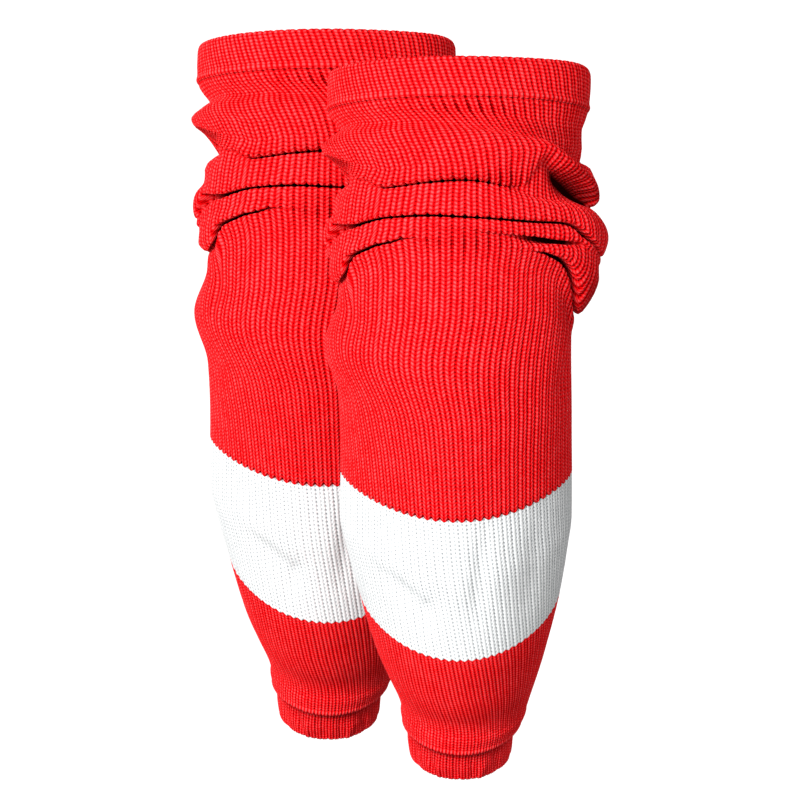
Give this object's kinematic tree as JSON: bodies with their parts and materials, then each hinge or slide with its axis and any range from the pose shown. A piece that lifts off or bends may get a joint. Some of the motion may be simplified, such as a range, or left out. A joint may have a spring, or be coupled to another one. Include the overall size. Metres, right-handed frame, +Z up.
{
  "type": "pair of hockey socks",
  "caption": "Footless ribbed-knit sports socks, filled out as worn: hemmed open top, slouched folds above the knee, white shin stripe, hemmed ankle with a narrow cuff.",
  "frame": {"origin": "midway between the two legs at knee height, where the wearer's legs hold the socks up", "axes": "+Z up along the socks, -Y the way the wearer's knees point, +X to the wearer's left"},
  "size_m": [0.2977, 0.3644, 0.5247],
  "materials": {
    "red_knit": "matt ribbed yarn knit",
    "white_knit": "matt ribbed yarn knit"
  },
  "bodies": {
    "root": {"left_top_cuff": "red_knit", "left_upper_leg": "red_knit", "left_stripe": "white_knit", "left_lower_leg": "red_knit", "left_ankle_cuff": "red_knit", "right_top_cuff": "red_knit", "right_upper_leg": "red_knit", "right_stripe": "white_knit", "right_lower_leg": "red_knit", "right_ankle_cuff": "red_knit"}
  },
  "joints": []
}
